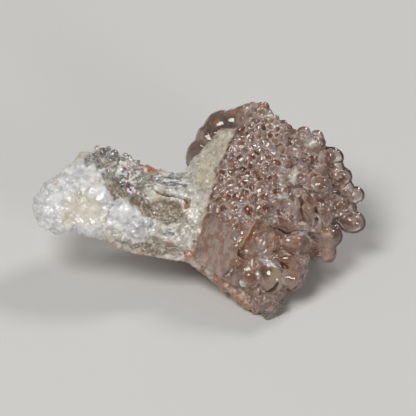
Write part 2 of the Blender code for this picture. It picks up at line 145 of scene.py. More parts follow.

# Painted highlights and painted pale rims on the crust, as lines in the same form, with their strength in
# place of the depth.
PAINTED_LIGHT_LINES = [
    # Painted highlights on the rim of the ledge, and in slashes beside it.
    ([(6.12, -0.27), (5.55, -0.45), (5.13, -0.81), (4.54, -1.6), (4.14, -2.21), (3.9, -2.79),
      (3.75, -3.19)], 0.17, 0.75),
    ([(6.12, -0.27), (6.84, -0.54), (7.35, -0.65)], 0.2, 1.25),
    ([(7.15, -0.15), (7.65, -0.6), (8.19, -1.08)], 0.2, 1.25),
    ([(8.75, -1.2), (9.65, -1.4)], 0.23, 1.25),
    # Painted highlights on the rims of the tongues, the lens and the ringed bubble.
    ([(8.14, -2.29), (8.73, -2.16), (9.45, -2.25), (10.05, -2.61), (10.15, -2.88)], 0.26, 1.25),
    ([(8.73, -3.87), (9.27, -3.6)], 0.33, 1),
    ([(5.2, -4.4), (5.76, -4.62), (6.45, -4.85), (7.2, -5.35)], 0.42, 1.6),
    ([(7.47, -5.4), (7.56, -6.21), (7.29, -6.84)], 0.2, 0.62),
    ([(4.95, -5.49), (5.2, -6), (5.04, -6.7), (4.65, -7.11), (4.35, -7.2)], 0.17, 1.12),
    ([(3.6, -6.3), (3.9, -6.7), (4.3, -7.0)], 0.5, 1.6),
    ([(2.25, -6), (2.65, -5.7), (2.95, -5.2)], 0.2, 1.12),
    # Painted highlights and painted pale rims on the flank's lobes.
    ([(8.85, 1.4), (9, 0.36), (9.09, -0.7)], 0.23, 0.75),
    ([(10.25, 0), (10.75, -0.8), (10.95, -1.5)], 0.26, 0.88),
    ([(8.73, 3.51), (8.46, 2.97), (8.64, 2.34)], 0.33, 1.25),
    ([(9.72, 3.24), (9.86, 2.7), (9.54, 2.25)], 0.19, 0.88),
    ([(10.08, 2.79), (10.62, 2.97), (11.34, 2.7)], 0.2, 0.88),
    ([(11.25, 1.44), (11.83, 1.48), (12.06, 2.07)], 0.24, 1.12),
    ([(12.69, 2.16), (13, 1.62)], 0.24, 1.25),
    ([(6.97, 1.44), (7.47, 1.17), (8.01, 1.62)], 0.29, 1.25),
    ([(8.82, 4.05), (9.27, 3.92), (9.76, 4.23)], 0.2, 1),
    ([(8.91, 6.57), (9.81, 6.21), (10.71, 5.76)], 0.33, 1),
    # Painted highlights on the rims of the larger bumps of the front.
    ([(3.42, 1.62), (3.87, 1.93), (4.41, 1.71), (4.59, 1.08)], 0.17, 1),
    ([(3.24, 0.81), (3.69, 0.58), (4.32, 0.63)], 0.17, 1),
    ([(7.11, 3.78), (7.56, 3.92), (7.96, 3.51), (7.83, 2.97)], 0.17, 1.12),
    ([(5.04, 4.23), (5.58, 4.05), (5.94, 3.42)], 0.17, 0.62),
]

# Colour on the crust, as patches: right, up, half width, half height, tilt and strength.
ORANGE_PATCHES = [
    (6.6, -2.4, 0.36, 0.6, 15, 0.9), (6.4, -3.3, 0.4, 0.5, -10, 0.8), (4.45, -2.4, 1.4, 0.6, 57, 1),
    (3.3, -2.6, 0.7, 0.9, 0, 0.5), (1.7, -0.8, 0.3, 0.5, 0, 0.6), (7.6, -5.0, 0.6, 0.25, -35, 0.9),
    (1.25, 7.9, 0.6, 0.6, 0, 0.6), (5.8, 9.8, 0.8, 0.5, 0, 0.9), (3.0, 8.9, 1.2, 0.5, 15, 0.6),
    (3.6, -7.9, 3.0, 0.5, -38, 0.8), (6.6, -0.4, 0.9, 0.3, -30, 0.5), (3.3, -4.5, 0.5, 0.4, 0, 0.6),
]
DARK_PATCHES = [
    (4.2, 1.75, 0.34, 0.3, 0, 1), (5.0, 1.2, 0.26, 0.45, 0, 0.9), (9.8, 1.0, 0.32, 0.6, 0, 1),
    (11.1, 2.35, 0.85, 0.5, -12, 0.8), (9.4, 4.5, 0.36, 0.36, 0, 1), (9.25, 3.0, 0.36, 0.36, 0, 0.9),
    (11.3, -0.3, 0.5, 0.85, 12, 0.9), (9.2, -1.0, 0.55, 0.2, 0, 0.8), (5.8, -5.0, 0.55, 0.42, 0, 0.9),
    (4.6, -6.0, 0.4, 0.4, 0, 0.7), (3.0, 4.4, 0.3, 0.4, 0, 0.8), (2.9, 0.7, 0.4, 0.3, 0, 0.5),
    (7.3, -2.3, 0.8, 0.3, -10, 0.7), (1.4, -0.4, 0.3, 0.6, 0, 0.5), (9.0, -3.1, 0.8, 0.6, 0, 0.5),
]
WARM_PATCHES = [
    (7.9, -1.3, 1.3, 0.6, -18, 0.9), (5.1, -1.9, 0.9, 1.2, 0, 0.9), (8.9, -2.9, 1.1, 0.55, -6, 0.8),
    (7.6, -4.8, 1.0, 0.4, -10, 0.9), (8.6, -6.3, 1.1, 1.2, 0, 0.8), (4.0, -7.2, 2.2, 0.6, -38, 0.9),
    (3.6, -4.2, 0.8, 0.7, 0, 0.8), (4.4, -6.0, 0.5, 0.5, 0, 0.8), (6.9, 0.5, 0.8, 0.7, 0, 0.7),
    (8.9, 0.6, 0.5, 1.0, 0, 0.6), (10.2, 0.3, 0.5, 1.1, 6, 0.8), (12.1, 4.9, 0.8, 0.7, 0, 0.8),
    (3.9, 1.3, 0.7, 0.6, 0, 0.7), (1.8, 0.8, 0.8, 0.6, 0, 0.5), (2.0, -1.4, 1.0, 0.8, 0, 0.5),
]
SMOKE_PATCHES = [
    (5.9, -5.6, 0.45, 0.8, 15, 1), (9.25, -3.1, 0.4, 0.3, 0, 0.6), (5.6, 5.4, 0.35, 0.3, 0, 0.7),
    (4.6, -6.1, 0.25, 0.3, 0, 0.6), (11.1, 2.1, 0.5, 0.35, -12, 0.6), (1.8, 7.8, 1.9, 1.5, 0, 1),
    (-0.2, 5.3, 1.4, 1.7, 30, 0.8),
]
STRAW_PATCHES = [
    (6.7, -6.0, 0.6, 1.0, 15, 0.9), (7.5, 1.3, 0.6, 0.4, 20, 0.8), (6.3, -0.75, 0.6, 0.4, -10, 0.6),
]
CREAM_PATCHES = [
    (8.5, 3.1, 0.6, 0.75, 0, 1), (7.5, 1.35, 0.66, 0.4, 20, 0.9), (9.9, 6.1, 0.9, 0.6, 0, 0.8),
    (6.3, 8.4, 0.4, 0.5, 0, 0.4), (9.6, -2.3, 1.0, 0.2, -8, 0.8), (4.0, 8.0, 0.8, 1.0, 40, 0.4),
    (10.8, 5.0, 0.6, 0.8, 0, 0.4), (10.1, 1.8, 0.5, 0.4, 0, 0.5),
]
SMOOTH_PATCHES = [
    (2.0, 8.1, 2.2, 1.9, 0, 1), (-0.2, 5.6, 1.9, 2.2, 30, 1), (1.5, -3.3, 2.3, 3.2, 15, 1),
    (0.9, -5.2, 1.8, 1.5, 0, 1), (2.7, -6.6, 1.2, 1.2, 0, 0.8),
]

# Clear drops of the cluster on the arm: right, up and radius.
CLUSTER_DROPS = [
    (-8.7, 5.1, 0.56), (-9.55, 4.7, 0.46), (-8.0, 4.4, 0.56), (-9.1, 3.95, 0.44), (-7.75, 5.05, 0.44),
    (-7.1, 4.3, 0.52), (-6.4, 3.9, 0.46), (-6.5, 3.1, 0.5), (-5.7, 3.35, 0.44), (-7.3, 3.35, 0.52),
    (-6.0, 2.35, 0.46), (-8.2, 3.45, 0.42), (-7.1, 2.4, 0.44), (-5.2, 2.75, 0.4), (-5.3, 2.0, 0.38),
    (-6.3, 1.6, 0.38), (-10.2, 4.4, 0.38), (-4.7, 3.0, 0.36), (-8.7, 3.1, 0.32), (-7.9, 2.7, 0.34),
    (-6.75, 4.85, 0.34), (-9.25, 5.5, 0.34), (-5.9, 4.2, 0.32), (-4.4, 2.3, 0.3), (-6.9, 1.9, 0.28),
]
# The stone under the drops left of this place gets painted shade as dark eyes.
CLEAREST = -6.8  # left of this place the drops show dark eyes

# Where the cluster's drops get painted rainbow glints, as patches.
RAINBOW_GLINT_PATCHES = [(-6.6, 3.5, 1.8, 1.15, -25, 1), (-6.1, 1.8, 0.6, 0.7, 0, 1)]

# Swellings of the stone, in the form of the crust's: the plates, pebble, domes and nubs of the milky arm,
# then the plates and beads of the neck.
STONE_SWELLINGS = [
    (-14.2, 0.85, 1.1, 0.35, -4, 0.3), (-12.5, 2.6, 0.85, 0.6, 35, 0.3), (-10.9, 3.9, 0.95, 0.62, 32, 0.28),
    (-13.6, 1.9, 0.6, 0.42, 30, 0.25), (-8.85, 3.25, 0.62, 0.3, 10, 0.26), (-9.2, 1.35, 1.15, 1.0, 0, 0.42),
    (-7.0, -0.2, 1.25, 1.05, -20, 0.34), (-12.8, -1.45, 0.95, 0.75, 15, 0.34),
    (-10.8, -1.95, 0.38, 0.34, 0, 0.26), (-9.7, -1.7, 0.3, 0.27, 0, 0.2), (-11.7, -1.6, 0.36, 0.3, 0, 0.2),
    (-13.9, -0.5, 0.5, 0.6, 0, 0.24), (-10.2, 0.0, 0.9, 0.7, 20, 0.14), (-8.4, -1.0, 0.8, 0.6, -20, 0.2),
    (-11.6, 0.9, 0.8, 0.6, -10, 0.16), (-4.95, -1.1, 0.6, 0.45, -20, 0.34),
    (-5.6, -2.15, 0.95, 0.36, -10, 0.26), (-6.6, -2.6, 0.5, 0.36, 0, 0.2),
    (-2.6, -2.0, 0.8, 0.42, -10, 0.24), (-2.9, 2.55, 1.7, 0.5, -14, 0.26), (-1.1, 1.9, 0.7, 0.4, -20, 0.2),
    (-0.9, -3.0, 0.5, 0.9, 0, 0.14), (-3.9, -3.9, 1.6, 0.3, -14, 0.16), (0.5, 3.3, 0.5, 0.8, -30, 0.15),
    (-12.0, -0.2, 0.5, 0.4, 0, 0.16), (-10.9, 2.4, 0.6, 0.4, 20, 0.18),
]

# Hollows of the stone, in the form of the crust's hollows: the crevice and its pit, and the arm's folds.
# They are also darkened in the colour, as painted shade.
STONE_CREASES = [
    ([(-4.2, 1.95), (-3.7, 1.6), (-2.9, 1.35), (-2.2, 1.25), (-1.5, 1), (-1.1, 0.6)], 0.18, 0.7),
    ([(-3.6, 0.9), (-2.5, 0.6), (-1.6, 0.3)], 0.7, 0.3),
    ([(-5.2, 1.1), (-4.7, 0.8), (-4.3, 0.1)], 0.36, 0.4),
    ([(-6.3, 1), (-5.8, 0.9), (-5.3, 0.5)], 0.5, 0.4),
    ([(-4.5, -0.3), (-4.3, -1.2), (-4.6, -1.9)], 0.3, 0.3),
    ([(-12.9, 1), (-11.8, 0.55), (-11.1, 0.35)], 0.2, 0.22),
    ([(-13.2, -0.85), (-12.0, -0.65), (-11.2, -1.1)], 0.16, 0.24),
    ([(-11.0, 3.2), (-10.1, 2.75), (-9.4, 2.5)], 0.2, 0.22),
    ([(-13.2, 2.6), (-12.2, 1.9), (-11.6, 1.6)], 0.16, 0.22),
    ([(-8.1, 2.2), (-7.6, 1.2), (-7.9, 0.2)], 0.3, 0.32),
    ([(-3.0, -3.2), (-2.0, -3.3), (-1.2, -3.9)], 0.2, 0.24),
    ([(-9.6, -0.9), (-8.9, -0.2), (-9.2, 0.4)], 0.14, 0.16),
]

# Colour on the stone, as patches.
MILK_PATCHES = [
    (-13.3, 0.9, 2.5, 2.2, 0, 1), (-11.2, 2.9, 2.4, 1.4, 30, 1), (-9.3, 1.2, 1.7, 1.5, 0, 1),
    (-9.9, -0.5, 2.6, 1.9, 0, 1), (-6.9, -0.5, 2.1, 1.5, -20, 1), (-4.9, -1.1, 0.95, 0.75, 0, 0.9),
    (-5.9, -2.1, 1.4, 0.66, -12, 0.8), (-12.8, -1.4, 1.9, 1.2, 0, 1), (-8.85, 3.25, 0.8, 0.45, 10, 0.9),
    (-1.9, 1.5, 1.3, 0.3, -20, 0.5),
]
YELLOW_PATCHES = [
    (-10.5, 0.2, 2.0, 1.4, 0, 1), (-9.5, -0.7, 1.3, 0.8, 0, 0.8), (-11.4, -0.9, 1.5, 0.7, 0, 0.8),
    (0.9, 3.6, 1.3, 2.4, -25, 0.6), (1.6, 5.6, 1.3, 1.3, 0, 0.8), (-3.6, 1.0, 0.8, 0.5, 0, 0.7),
    (-11.4, 0.8, 0.7, 0.5, 0, 0.5),
]
BROWN_PATCHES = [
    (-7.1, 1.9, 1.1, 1.3, 0, 1), (-5.4, 0.7, 1.2, 1.0, -20, 1), (-4.5, -0.1, 1.0, 1.0, 0, 1),
    (-1.2, 0.7, 0.35, 0.6, 0, 1), (-3.0, 0.45, 1.5, 0.8, -12, 0.9), (-3.6, -2.9, 1.8, 0.5, -12, 0.7),
    (-6.4, 2.6, 1.2, 0.8, -20, 0.5), (-5.2, -3.3, 2.6, 0.5, -14, 0.9), (-3.0, -3.7, 1.7, 0.5, -12, 0.8),
    (-4.3, 0.2, 1.0, 1.1, 0, 0.9), (-2.8, -0.4, 1.8, 1.1, -10, 1), (-1.4, -1.7, 0.8, 2.2, -8, 0.55),
]
RUST_PATCHES = [
    (-13.0, 2.35, 0.5, 0.25, 30, 0.8), (-5.0, 4.2, 2.2, 0.75, -28, 0.8), (-8.9, 5.8, 1.4, 0.35, 0, 0.8),
    (-6.3, -3.75, 2.8, 0.4, -8, 0.35), (-0.95, -4.2, 0.7, 0.75, 0, 0.6), (-2.6, -3.1, 0.6, 0.3, -20, 0.7),
    (4.5, -2.3, 1.5, 0.7, 57, 1.2), (-8.0, -2.9, 1.2, 0.35, -20, 0.45), (3.2, -7.9, 3.2, 0.4, -41, 0.8),
    (-1.2, 0.4, 0.3, 0.4, 0, 0.7),
]
# Grey and white streaks; the last three, on glistening white lumps, are painted glints with painted shade.
GREY_AND_GLINT_PATCHES = [
    (-2.7, 2.6, 2.0, 0.75, -13, 1), (-1.2, 3.2, 0.8, 0.5, 20, 0.6), (1.2, 6.6, 0.8, 0.5, 40, 0.6),
    (-5.7, 0.9, 0.9, 0.7, 0, 0.7), (-3.0, -3.6, 1.4, 0.3, -12, 0.6), (-9.5, 4.6, 0.9, 0.5, 30, 0.5),
    (-12.8, -1.6, 0.9, 0.7, 0, 0.3), (-7.6, 4.2, 2.2, 1.1, -25, 0.3), (-4.9, -1.1, 0.8, 0.6, 0, 0.5),
    (-5.7, -2.1, 1.3, 0.5, -12, 0.5), (-2.6, -2.0, 1.0, 0.5, 0, 0.8),
]

# Which mask each table makes.
STONE_MASKS = {"milk": MILK_PATCHES, "grey": GREY_AND_GLINT_PATCHES, "brown": BROWN_PATCHES, "yellow": YELLOW_PATCHES}
CRUST_MASKS = {
    "orange": ORANGE_PATCHES, "dark": DARK_PATCHES, "cream": CREAM_PATCHES, "warm": WARM_PATCHES,
    "smoke": SMOKE_PATCHES, "straw": STRAW_PATCHES,
}

# How swellings, patches and creases fall off.
DOME_POWER = 0.45  # under a half, so that a dome is full on top and steep at its rim
DIP_WIDTH = 0.28  # of the dip round a swelling, as a share of its half width
DIP_DEPTH = 0.3  # of that dip, as a share of the swelling's rise
PATCH_EDGE = (1.15, 0.55)  # a patch begins and is full at these shares of its half width
CREASE_END = 0.4  # how wide and deep a crease still is at its ends
CREASE_SIDES = (1.6, 0.3)  # what lies near a crease, from and to these shares of its half width

# The facets of the broken stone: how wide, how high, and by how much more or less so on the milk.
FACETS = [(1.7, 0.1, 1.1), (0.75, 0.07, 0.4), (0.4, 0.05, -0.2)]
GRIT = (0.1, 0.07)  # how high the middle and the fine grit of the stone are
BED_GRIT = 0.03  # how high the grit under the opal is
BED_EDGE = (0.55, 0.15)  # the bed begins and is full this far outside the opal
BED_LEFT = (-1.6, -0.6)  # it begins and is full at these places to the right
UNDERSIDE_RUST = 0.45  # how rusty the underside is
EYE_SHADE_WIDTH = 0.4  # of a drop's dark eye, as a share of the drop

# The small bumps of the crust: their widths, and how much wider they are in each region.
BUMP_WIDTH = 0.6
BUMP_VARIETY = 0.3
FLANK_WIDER = 0.4
BACK_WIDER = 0.45
LOWER_WIDER = 0.14
BUMP_LIMITS = (0.34, 1.3)
BUMP_RISE = 0.28  # as a share of their width
BUMP_RISES = (0.75, 1.1)  # the least and the most of it
BUMP_REACH = 0.72  # how far a bump reaches at most, as a share of its width
BUMP_BEND = 0.04  # how far their outlines are bent, in millimetres
ROPY_SINK = 0.22  # how far the flank and the lower part sink, to make room for their swellings
FAR_SIDE = -0.35  # what faces away by more than this is thinned out
FAR_WEIGHT = 0.3  # how readily, where the hidden side has 1

SMALL_DROPS_EACH = 2
SMALL_DROP_RADII = (0.16, 0.28)

# The studio's lights: name, direction from the specimen, distance and width in millimetres, power, colour.
LIGHTS = [
    ("key", (-0.35, -0.35, 0.87), 400, 190, 0.84, (1.0, 0.98, 0.95)),
    ("back", (0.45, 0.5, 0.74), 400, 110, 0.4, (1.0, 0.97, 0.94)),
    ("front", (0.6, -0.75, 0.35), 450, 110, 0.3, (1, 1, 1)),
]
PAPER_COLOUR = (0.72, 0.72, 0.71, 1)
PAPER_ROUGHNESS = 0.8
SKY_COLOUR = (0.95, 0.97, 1.0, 1)
SKY_STRENGTH = 0.16
SENSOR_WIDTH = 36.0
CAMERA_CLIP = (0.01, 10.0)


def seen(right, up, toward):
    """A point of the camera's view, in the frame's axes."""
    return VIEW_ZERO + (VIEW_RIGHT * right + VIEW_UP * up + VIEW_TOWARD * toward) * MM


def view_places(points):
    """Points of the frame as the view has them: right, up and toward, in millimetres."""
    axes = np.array([VIEW_RIGHT, VIEW_UP, VIEW_TOWARD])
    return ((points - np.array(VIEW_ZERO)) / MM @ axes.T).T


def smooth_step(low, high, value):
    share = np.clip((value - low) / (high - low), 0, 1)
    return share * share * (3 - 2 * share)


# Mesh tools

def new_thing(name, data):
    thing = bpy.data.objects.new(name, data)
    bpy.context.scene.collection.objects.link(thing)
    return thing


def copy_of(node):
    return new_thing(node + "_copy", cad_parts[node].data.copy())


def new_object(name, shape):
    """An object from a bmesh, which is freed."""
    mesh = bpy.data.meshes.new(name)
    shape.to_mesh(mesh)
    shape.free()
    return new_thing(name, mesh)


def joined(name, things):
    """One object that holds the meshes of several, which are removed."""
    shape = bmesh.new()
    for thing in things:
        shape.from_mesh(thing.data)
        bpy.data.objects.remove(thing)
    return new_object(name, shape)


def apply(thing, kind, **settings):
    modifier = thing.modifiers.new(kind.title(), kind)
    for key, value in settings.items():
        setattr(modifier, key, value)
    graph = bpy.context.evaluated_depsgraph_get()
    mesh = bpy.data.meshes.new_from_object(thing.evaluated_get(graph))
    thing.modifiers.clear()
    old, thing.data = thing.data, mesh
    bpy.data.meshes.remove(old)


def fuse(thing, grain, smoothing=0):
    """One closed skin round all that the object holds, smoothed by that many passes."""
    apply(thing, "REMESH", mode="VOXEL", voxel_size=grain * MM)
    if smoothing:
        apply(thing, "SMOOTH", factor=0.5, iterations=smoothing)


def vectors_of(thing, what):
    vectors = np.empty(len(thing.data.vertices) * 3, np.float32)
    thing.data.vertices.foreach_get(what, vectors)
    return vectors.reshape(-1, 3)


def points_of(thing):
    return vectors_of(thing, "co")


def normals_of(thing):
    return vectors_of(thing, "normal")


def facing_of(thing):
    """How far each vertex turns towards the viewer, from 1 down to -1."""
    return normals_of(thing) @ np.array(VIEW_TOWARD)


def push(thing, distances):
    """Moves each vertex along its normal, by millimetres."""
    distances = np.broadcast_to(distances, len(thing.data.vertices))
    points = points_of(thing) + normals_of(thing) * distances[:, None] * MM
    thing.data.vertices.foreach_set("co", np.ascontiguousarray(points, np.float32).ravel())
    thing.data.update()


def store(thing, name, values):
    layer = thing.data.attributes.new(name, "FLOAT", "POINT")
    layer.data.foreach_set("value", np.ascontiguousarray(values, np.float32))


def skin_of(thing):
    mesh = thing.data
    return BVHTree.FromPolygons([v.co for v in mesh.vertices], [p.vertices for p in mesh.polygons])


def height_over(skin, points):
    """How far each point lies outside a skin, in millimetres, and below zero inside it."""
    heights = np.empty(len(points))
    for i, point in enumerate(points):
        place = Vector(point)
        near, normal, _, distance = skin.find_nearest(place)
        heights[i] = math.copysign(distance, (place - near).dot(normal)) / MM
    return heights


def fractal(points, size, octaves=4, offset=0.0):
    """Smooth noise from about -1 to 1, whose largest swells are that many millimetres wide."""
    shift = Vector((offset, -offset, offset * 0.5))
    scale = 1 / (size * MM)
    values = [noise.fractal(Vector(p) * scale + shift, 1.0, 2.0, octaves) for p in points]
    return np.array(values, np.float32)


def thin_out(thing, hidden, far, triangles):
    """Brings the mesh down to that many triangles, first where it is hidden, then on its far side."""
    group = thing.vertex_groups.new(name="spare")
    group.add(np.flatnonzero(far).tolist(), FAR_WEIGHT, "REPLACE")
    group.add(np.flatnonzero(hidden).tolist(), 1.0, "REPLACE")
    apply(thing, "TRIANGULATE")
    ratio = min(1.0, triangles / len(thing.data.polygons))
    apply(thing, "DECIMATE", ratio=ratio, vertex_group="spare")
    thing.vertex_groups.clear()


# Forms that are drawn in the view

def lobe(shape, place, radii, tilt=0.0, fineness=4):
    """Adds an ellipsoid, its radii across, up and towards the viewer, turned in the view by the tilt."""
    turn = Matrix((VIEW_RIGHT, VIEW_UP, VIEW_TOWARD)).transposed().to_4x4()
    size = Matrix.Diagonal((*(Vector(radii) * MM), 1))
    matrix = Matrix.Translation(place) @ turn @ Matrix.Rotation(math.radians(tilt), 4, "Z") @ size
    bmesh.ops.create_icosphere(shape, subdivisions=fineness, radius=1, matrix=matrix)


def drops(name, skin, rows, sink):
    """Ellipsoids on a skin, where the view's line of sight meets it, sunk by that share of their depth."""
    shape = bmesh.new()
    for right, up, across, high, deep, tilt in rows:
        hit, _, _, _ = skin.ray_cast(seen(right, up, FAR), -VIEW_TOWARD)
        if hit is not None:
            lobe(shape, hit - VIEW_TOWARD * deep * sink * MM, (across, high, deep), tilt)
    return new_object(name, shape)


def off_centre(right, up, row):
    """How far places lie from the middle of an ellipse of the view, from 0 there to 1 on its rim."""
    x, y, across, high, tilt = row[:5]
    turn = math.radians(tilt)
    along = (right - x) * math.cos(turn) + (up - y) * math.sin(turn)
    aside = (up - y) * math.cos(turn) - (right - x) * math.sin(turn)
    return np.sqrt((along / across) ** 2 + (aside / high) ** 2)


def dome(share):
    """A rounded top with steep sides, from 1 in the middle to 0 at the rim."""
    return np.clip(1 - share ** 2, 0, 1) ** DOME_POWER


def swellings(right, up, rows):
    """The tallest swelling's height at each place, in millimetres and with a dip all round.

    Also which swelling that is, and how near the place is to its rim, from 0 in its middle to 1.
    """
    height = np.zeros_like(right)
    dip = np.zeros_like(right)
    owner = np.zeros(len(right), int)
    rim = np.ones_like(right)
    for index, row in enumerate(rows):
        share = off_centre(right, up, row)
        rise = row[5] * dome(share)
        higher = rise > height
        owner[higher] = index
        rim[higher] = share[higher]
        height = np.maximum(height, rise)
        dip = np.maximum(dip, row[5] * np.clip(1 - np.abs(share - 1) / DIP_WIDTH, 0, 1))
    return height - dip * DIP_DEPTH, owner, rim


def patches(right, up, rows):
    """How strongly each place is inside the patches, from 0 to 1."""
    strength = np.zeros_like(right)
    for row in rows:
        strength = np.maximum(strength, row[5] * smooth_step(*PATCH_EDGE, off_centre(right, up, row)))
    return strength


def creases(right, up, rows):
    """How deep each place lies in the creases, in millimetres, and how near to one, from 0 to 1.

    A crease is widest and deepest half way along.
    """
    depth = np.zeros_like(right)
    near = np.zeros_like(right)
    place = np.stack([right, up], axis=1)
    for route, half_width, deepest in rows:
        route = np.array(route)
        runs = route[1:] - route[:-1]
        lengths = np.linalg.norm(runs, axis=1)
        passed = 0.0
        for start, run, length in zip(route, runs, lengths):
            share = np.clip((place - start) @ run / (run @ run), 0, 1)
            distance = np.linalg.norm(place - start - share[:, None] * run, axis=1)
            along = (passed + share * length) / lengths.sum()
            taper = CREASE_END + (1 - CREASE_END) * np.sqrt(np.clip(4 * along * (1 - along), 0, 1))
            width = half_width * taper
            depth = np.maximum(depth, deepest * taper * smooth_step(width, 0, distance))
            outer, inner = CREASE_SIDES
            near = np.maximum(near, smooth_step(width * outer, width * inner, distance))
            passed += length
    return depth, near


# Random relief

def spread(points, spacing, dice):
    """Picks points so that no two are nearer than their spacing, in millimetres."""
    cell = float(spacing.max()) * MM
    grid = {}
    picked = []
    for index in dice.permutation(len(points)):
        point = points[index]
        reach = spacing[index] * MM
        home = tuple(np.floor(point / cell).astype(int))
        near = (other for x in (-1, 0, 1) for y in (-1, 0, 1) for z in (-1, 0, 1)
                for other in grid.get((home[0] + x, home[1] + y, home[2] + z), ()))
        if all(np.sum((point - points[other]) ** 2) > reach * reach for other in near):
            grid.setdefault(home, []).append(index)
            picked.append(index)
    return picked


def tree_of(points):
    tree = KDTree(len(points))
    for i, point in enumerate(points):
        tree.insert(point, i)
    tree.balance()
    return tree


def pavement(points, centres, sizes, dice):
    """A pavement of domes of those sizes round the centres, as three values for each point.

    They are its height, from 0 in the creases to about 1 on the tallest tops, how near the point is to the
    rim of its dome, and a tone from 0 to 1 that the dome has for itself.
    """
    tree = tree_of(centres)
    rises = dice.uniform(*BUMP_RISES, len(centres))
    tones = dice.uniform(0, 1, len(centres))
    shares = np.empty(len(points), np.float32)
    owners = np.empty(len(points), int)
    for i, point in enumerate(points):
        (_, first, near), (_, _, far) = tree.find_n(point, 2)
        shares[i] = near / min((near + far) / 2, sizes[first] * MM * BUMP_REACH)
        owners[i] = first
    return dome(shares) * rises[owners], np.clip(shares, 0, 1), tones[owners]


def broken_facets(points, size, dice):
    """Flat facets that tilt each its own way, about that many millimetres wide, from about -1 to 1."""
    centres = points[spread(points, np.full(len(points), size), dice)]
    tilts = dice.normal(0, 1, (len(centres), 3))
    tree = tree_of(centres)
    nearest = np.array([tree.find(point)[1] for point in points])
    return np.sum((points - centres[nearest]) * tilts[nearest], axis=1) / (size * MM)


# The stone

def stone_piece():
    """The stone with a core under the opal, so that no seam shows between the two."""
    swollen = copy_of("matrix")
    fuse(swollen, CORE_GRAIN, smoothing=2)
    push(swollen, SEAM)
    core = joined("core", [swollen, copy_of("hyalite_crust"), copy_of("hyalite_cluster")])
    fuse(core, CORE_GRAIN, smoothing=CORE_SMOOTHING)
    push(core, -CORE_DEPTH)
    outside = copy_of("matrix")
    fuse(outside, OUTSIDE_GRAIN, smoothing=3)
    stone = joined("matrix_stone", [outside, core])
    fuse(stone, STONE_GRAIN, smoothing=2)
    return stone


def bed_of(points, right, crust_skin):
    """Where the opal lies on the stone, from 0 to 1."""
    depth = np.maximum(height_over(crust_skin, points), 0)
    return smooth_step(*BED_EDGE, depth) * smooth_step(*BED_LEFT, right)


def drop_eye_shades():
    """Painted shade in the stone under the clearest drops of the cluster: dark eyes, as patches."""
    return [
        (right, up, radius * EYE_SHADE_WIDTH, radius * EYE_SHADE_WIDTH, 0, 1.0)
        for right, up, radius in CLUSTER_DROPS if right < CLEAREST
    ]


def jagged_relief(points, milk, middle, fine):
    """The height of the stone's broken facets and grit, in millimetres."""
    dice = np.random.default_rng(SEED)
    relief = (middle * GRIT[0] + fine * GRIT[1]) * (0.6 - 0.3 * milk)
    for width, rise, more in FACETS:
        relief = relief + broken_facets(points, width, dice) * rise * (1 + more * milk)
    return relief


def roughen_stone(stone, crust_skin):
    """Gives the stone its forms and relief, and stores where it is milky and rusty, where its hollows get
    painted shade, and so on.
    """
    points = points_of(stone)
    right, up, _ = view_places(points)
    facing = facing_of(stone)
    front = smooth_step(-0.15, 0.15, facing)
    bed = bed_of(points, right, crust_skin)
    open_air = 1 - bed
    wide = fractal(points, 1.6, 3)
    middle = fractal(points, 0.9, 4, 5.0)
    fine = fractal(points, 0.4, 3, 9.0)
    hollow, _ = creases(right + middle * 0.1, up + wide * 0.1, STONE_CREASES)
    raised, _, _ = swellings(right + middle * 0.18, up + wide * 0.18, STONE_SWELLINGS)
    wandering = (right + wide * 0.35 + fine * 0.12, up + middle * 0.35 + fine * 0.12)
    masks = {name: patches(*wandering, rows) * front for name, rows in STONE_MASKS.items()}
    # Painted shade: dark eyes under the clearest drops.
    masks["eye_shade"] = patches(right, up, drop_eye_shades()) * front
    for name, values in masks.items():
        store(stone, name, values * open_air)
    milk = masks["milk"]
    underside = smooth_step(0.15, -0.2, facing + wide * 0.12) * open_air
    rust = patches(*wandering, RUST_PATCHES) * front
    store(stone, "rust", np.maximum(rust, UNDERSIDE_RUST * underside))
    foot = smooth_step(-0.9, -0.1, right) * smooth_step(-3.4, -4.4, up)
    store(stone, "bed", np.maximum(bed, foot))
    # Painted shade in the hollows, less on the milk.
    store(stone, "hollow", np.clip(hollow / 0.3, 0, 1) * front * open_air * (1 - 0.75 * milk))
    forms = (raised * (1 - 0.35 * milk) - hollow) * front + jagged_relief(points, milk, middle, fine)
    push(stone, forms * open_air + fine * BED_GRIT * bed)


# The opal

def crust_piece(stone_skin):
    """The crust with its back lobes and drops, and fewer triangles where it is hidden or far."""
    base = copy_of("hyalite_crust")
    skin = skin_of(base)
    fuse(base, BASE_GRAIN, smoothing=10)
    shape = bmesh.new()
    for right, up, toward, across, high, deep, tilt in BACK_LOBES:
        lobe(shape, seen(right, up, toward), (across, high, deep), tilt)
    back = new_object("back_lobes", shape)
    crust = joined("hyalite_crust_opal", [base, back, drops("crust_drops", skin, CRUST_DROPS, 0.8)])
    fuse(crust, CRUST_GRAIN, smoothing=3)
    buried = height_over(stone_skin, points_of(crust)) < -BURIED
    thin_out(crust, buried, facing_of(crust) < FAR_SIDE, CRUST_TRIANGLES)
    return crust


def bump_sizes(points, right, up, facing):
    """How wide the crust's bumps are at each place, in millimetres."""
    back = smooth_step(0.1, -0.25, facing)
    flank = smooth_step(7.2, 8.6, right) * (1 - back)
    lower = smooth_step(2.6, 1.0, up)
    sizes = BUMP_WIDTH + BUMP_VARIETY * fractal(points, 1.3, 3, 3.0)
    sizes = sizes + FLANK_WIDER * flank + BACK_WIDER * back + LOWER_WIDER * lower
    return np.clip(sizes, *BUMP_LIMITS)


